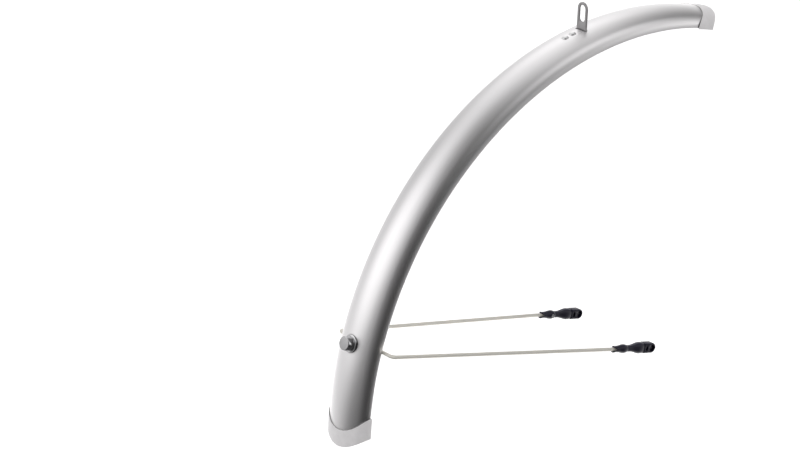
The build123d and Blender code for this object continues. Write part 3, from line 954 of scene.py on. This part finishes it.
class MUDGUARD_OT_clips(Operator):
    """Breakaway clips: notched sleeve, flared plug and eyelet block on both legs"""
    bl_idname = "mudguard.clips"
    bl_label = "Clips"

    def execute(self, context):
        clip = context.scene.mudguard_clip
        black = plastic_finish(context.scene.mudguard_finish)
        up = Vector((-LEG.z, 0, LEG.x))
        turn = Matrix((Vector((0, 1, 0)), up, LEG)).transposed().to_4x4()
        here = Matrix.Translation(EYELET) @ turn
        for name, piece in (("sleeve", self.sleeve(clip)), ("plug", self.plug(clip))):
            place(piece, here)
            piece.name = piece.data.name = f"right_clip_{name}"
            twin = across_copy(piece, f"left_clip_{name}")
            settle(piece, black, "black_plastic", f"right_{name}")
            settle(twin, black, "black_plastic", f"left_{name}")
        base = solid_copy("right_clip_base", "right_clip_eyelet")
        round_edges(base, clip.base_edge)
        tidy(base, EDGE_SMOOTH)
        twin = across_copy(base, "left_clip_eyelet")
        settle(base, black, "black_plastic", "right_clip_base")
        settle(twin, black, "black_plastic", "left_clip_base")
        zinc = zinc_finish(context.scene.mudguard_finish)
        dress("right_grub_screw", zinc)
        dress("left_grub_screw", zinc)
        return {"FINISHED"}

    def sleeve(self, clip):
        """Turned sleeve with a V cut in each side of its mouth."""
        mouth, bulge, front = clip.mouth_width / 2, clip.bulge / 2, -clip.sleeve_front
        back = -clip.mouth
        outline = [(mouth + r, back + z) for r, z in SLEEVE_MOUTH]
        outline += [(bulge + r, front + z) for r, z in SLEEVE_BULGE]
        outline += [(SLEEVE_BORE, front)] + [(r, back + z) for r, z in SLEEVE_HOLE] + outline[:1]
        piece = turned("sleeve", outline, SLEEVE_ROUND)
        edge = back + NOTCH_EDGE
        for step in range(NOTCH_STEPS):
            low, high = math.radians(step * NOTCH_DEGREES), math.radians((step + 1) * NOTCH_DEGREES)
            pick(piece, lambda co: co.z < edge and low <= math.atan2(abs(co.y), abs(co.x)) < high)
            bpy.ops.transform.translate(value=(0, 0, clip.notch * (1 - step / NOTCH_STEPS)))
            done()
        return tidy(piece, TURNED_SMOOTH)

    def plug(self, clip):
        """Plug that eases from a round-cornered square neck to a flat flare, with a spigot."""
        deselect()
        bpy.ops.mesh.primitive_plane_add(size=clip.neck, location=(0, 0, 0))
        piece = bpy.context.object
        edit(piece)
        bpy.ops.transform.translate(value=(0, 0, -clip.plug_back))
        bpy.ops.mesh.bevel(offset=clip.neck * PLUG_CORNER, segments=PLUG_CORNER_STEPS, affect="VERTICES")
        bpy.ops.mesh.select_all(action="SELECT")
        wide, tall = clip.neck, clip.neck
        at = -clip.plug_back
        start = -clip.plug_back + PLUG_STRAIGHT
        flare = -clip.plug_face - PLUG_STRAIGHT
        for k in range(FLARE_STATIONS + 1):
            share = k / FLARE_STATIONS
            ease = share * share * (3 - 2 * share)
            z = start + (flare - start) * k / FLARE_STATIONS
            wider = clip.neck + (clip.flare_thickness - clip.neck) * ease
            taller = clip.neck + (clip.flare_height - clip.neck) * ease
            self.step(z - at, wider / wide, taller / tall)
            wide, tall, at = wider, taller, z
        for inset, thin in PLUG_END:
            z = -clip.plug_face - inset
            self.step(z - at, (clip.flare_thickness - thin) / wide, (clip.flare_height - thin) / tall)
            wide, tall, at = clip.flare_thickness - thin, clip.flare_height - thin, z
        self.step(0, SPIGOT_WIDTH / wide, SPIGOT_WIDTH / tall)
        self.step(SPIGOT_LENGTH, 1, 1)
        self.step(SPIGOT_TIP, SPIGOT_TAPER, SPIGOT_TAPER)
        done()
        return tidy(piece, TURNED_SMOOTH)

    def step(self, along, wide, tall):
        """Extrudes the plug's end and scales it."""
        bpy.ops.mesh.extrude_region_move(TRANSFORM_OT_translate={"value": (0, 0, along)})
        bpy.ops.transform.resize(value=(wide, tall, 1))


# Floor, light and camera

# Soft lamps: azimuth, elevation, half width and softness in degrees, and power
LAMPS = (
    ("left_floor", 99, -21, 38, 39, 0.94),
    ("high_left", 70, 57, 28, 18, 0.99),
    ("front_left", -159, 12, 32, 25, 0.19),
    ("right_card", -38, 4, 16, 13, 1.60),
    ("background", 28, -42, 46, 18, 2.37),
    ("top_right", -41, 72, 22, 18, 0.40),
    ("key", 150, 26, 28, 18, 1.56),
    ("high_back", 52, 30, 17, 17, 1.00),
    ("high_right", -52, 43, 17, 17, 1.51),
    ("low_back", 18, -4, 17, 17, 2.40),
)


FLOOR_GAP = 0.0005
FLOOR_GREY = (0.9, 0.9, 0.9, 1)
WHITE = (1, 1, 1, 1)
FILL_ANGLE = math.radians(30)
SENSOR_WIDTH = 36
FAR_CLIP = 100


def soft_lamp(nodes, links, view, name, azimuth, elevation, width, edge, power):
    """Light from a round patch of the surroundings with a soft edge."""
    a, e = math.radians(azimuth), math.radians(elevation)
    facing = nodes.new("ShaderNodeVectorMath")
    facing.operation = "DOT_PRODUCT"
    facing.inputs[1].default_value = (math.cos(e) * math.cos(a), math.cos(e) * math.sin(a), math.sin(e))
    links.new(view, facing.inputs[0])
    angle = nodes.new("ShaderNodeMath")
    angle.operation = "ARCCOSINE"
    links.new(facing.outputs["Value"], angle.inputs[0])
    fall = nodes.new("ShaderNodeMapRange")
    fall.label = name
    fall.interpolation_type = "SMOOTHSTEP"
    fall.inputs["From Min"].default_value = math.radians(width + edge)
    fall.inputs["From Max"].default_value = math.radians(max(0, width - edge))
    fall.inputs["To Max"].default_value = power
    links.new(angle.outputs[0], fall.inputs["Value"])
    return fall.outputs["Result"]


class MUDGUARD_OT_stage(Operator):
    """Pale floor, soft studio light and the camera"""
    bl_idname = "mudguard.stage"
    bl_label = "Stage"

    def execute(self, context):
        stage = context.scene.mudguard_stage
        low = min(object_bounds()[0][2], CAD_BOX[0][2])
        deselect()
        bpy.ops.mesh.primitive_plane_add(size=stage.floor_size, location=(0, 0, low - FLOOR_GAP))
        floor = context.object
        floor.name = floor.data.name = "pale_floor"
        bpy.ops.object.transform_apply(location=True, rotation=True, scale=True)
        floor.data.materials.append(self.floor_finish(stage))
        floor.visible_glossy = False
        floor.visible_diffuse = False
        floor.visible_shadow = False
        floor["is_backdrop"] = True
        self.light(context.scene, stage)
        bpy.ops.object.light_add(type="SUN", rotation=stage.camera_turn)
        fill = context.object
        fill.name = fill.data.name = "fill_light"
        fill.data.energy = stage.fill
        fill.data.angle = FILL_ANGLE
        lit = bpy.data.collections.new("lit_by_fill")
        for name in ("silver_end_caps", "steel_stay"):
            lit.objects.link(bpy.data.objects[name])
        fill.light_linking.receiver_collection = lit
        bpy.ops.object.camera_add(location=stage.camera_place, rotation=stage.camera_turn)
        camera = context.object
        camera.data.sensor_fit = "HORIZONTAL"
        camera.data.sensor_width = SENSOR_WIDTH
        camera.data.lens = stage.lens
        camera.data.clip_end = FAR_CLIP
        context.scene.camera = camera
        context.scene.view_settings.view_transform = "Standard"
        return {"FINISHED"}

    def floor_finish(self, stage):
        """Matt and pale, with a glow of its own."""
        material = bpy.data.materials.new("pale_floor")
        material.use_nodes = True
        shader = material.node_tree.nodes["Principled BSDF"]
        shader.inputs["Base Color"].default_value = FLOOR_GREY
        shader.inputs["Roughness"].default_value = 1.0
        shader.inputs["Emission Color"].default_value = WHITE
        shader.inputs["Emission Strength"].default_value = stage.floor_glow
        return material

    def light(self, scene, stage):
        """Lamps on top of the ambient light, and plain white where the camera looks past the part."""
        world = bpy.data.worlds.new("soft_studio")
        scene.world = world
        world.use_nodes = True
        nodes, links = world.node_tree.nodes, world.node_tree.links
        sky = nodes["Background"]
        where = nodes.new("ShaderNodeTexCoord")
        total = None
        for lamp in LAMPS:
            glow = soft_lamp(nodes, links, where.outputs["Generated"], *lamp)
            add = nodes.new("ShaderNodeMath")
            add.operation = "ADD"
            add.inputs[1].default_value = stage.ambient
            links.new(glow, add.inputs[0])
            if total:
                links.new(total, add.inputs[1])
            total = add.outputs[0]
        links.new(total, sky.inputs["Color"])
        plain = nodes.new("ShaderNodeBackground")
        plain.inputs["Color"].default_value = WHITE
        path = nodes.new("ShaderNodeLightPath")
        mix = nodes.new("ShaderNodeMixShader")
        links.new(path.outputs["Is Camera Ray"], mix.inputs["Fac"])
        links.new(sky.outputs["Background"], mix.inputs[1])
        links.new(plain.outputs["Background"], mix.inputs[2])
        links.new(mix.outputs["Shader"], nodes["World Output"].inputs["Surface"])


class MUDGUARD_PT_sidebar(Panel):
    """Settings and steps of the mudguard"""
    bl_idname = "MUDGUARD_PT_sidebar"
    bl_label = "Mudguard"
    bl_space_type = "VIEW_3D"
    bl_region_type = "UI"
    bl_category = "Mudguard"

    def draw(self, context):
        for operator in OPERATORS:
            self.layout.operator(operator.bl_idname)
        for name in SETTINGS:
            box = self.layout.box()
            group = getattr(context.scene, name)
            for key in group.__annotations__:
                box.prop(group, key)


SETTINGS = {
    "mudguard_blade": BladeSettings,
    "mudguard_cap": CapSettings,
    "mudguard_hardware": HardwareSettings,
    "mudguard_clip": ClipSettings,
    "mudguard_finish": FinishSettings,
    "mudguard_stage": StageSettings,
}
OPERATORS = (
    MUDGUARD_OT_blade,
    MUDGUARD_OT_end_caps,
    MUDGUARD_OT_bracket,
    MUDGUARD_OT_stay_bolt,
    MUDGUARD_OT_stay_wire,
    MUDGUARD_OT_clips,
    MUDGUARD_OT_stage,
)


def register():
    for name, settings in SETTINGS.items():
        bpy.utils.register_class(settings)
        setattr(bpy.types.Scene, name, PointerProperty(type=settings))
    for operator in OPERATORS:
        bpy.utils.register_class(operator)
    bpy.utils.register_class(MUDGUARD_PT_sidebar)


def unregister():
    bpy.utils.unregister_class(MUDGUARD_PT_sidebar)
    for operator in reversed(OPERATORS):
        bpy.utils.unregister_class(operator)
    for name, settings in SETTINGS.items():
        delattr(bpy.types.Scene, name)
        bpy.utils.unregister_class(settings)


def main():
    register()
    bpy.ops.mudguard.blade()
    bpy.ops.mudguard.end_caps()
    bpy.ops.mudguard.bracket()
    bpy.ops.mudguard.stay_bolt()
    bpy.ops.mudguard.stay_wire()
    bpy.ops.mudguard.clips()
    bpy.ops.mudguard.stage()


if __name__ == "__main__":
    main()
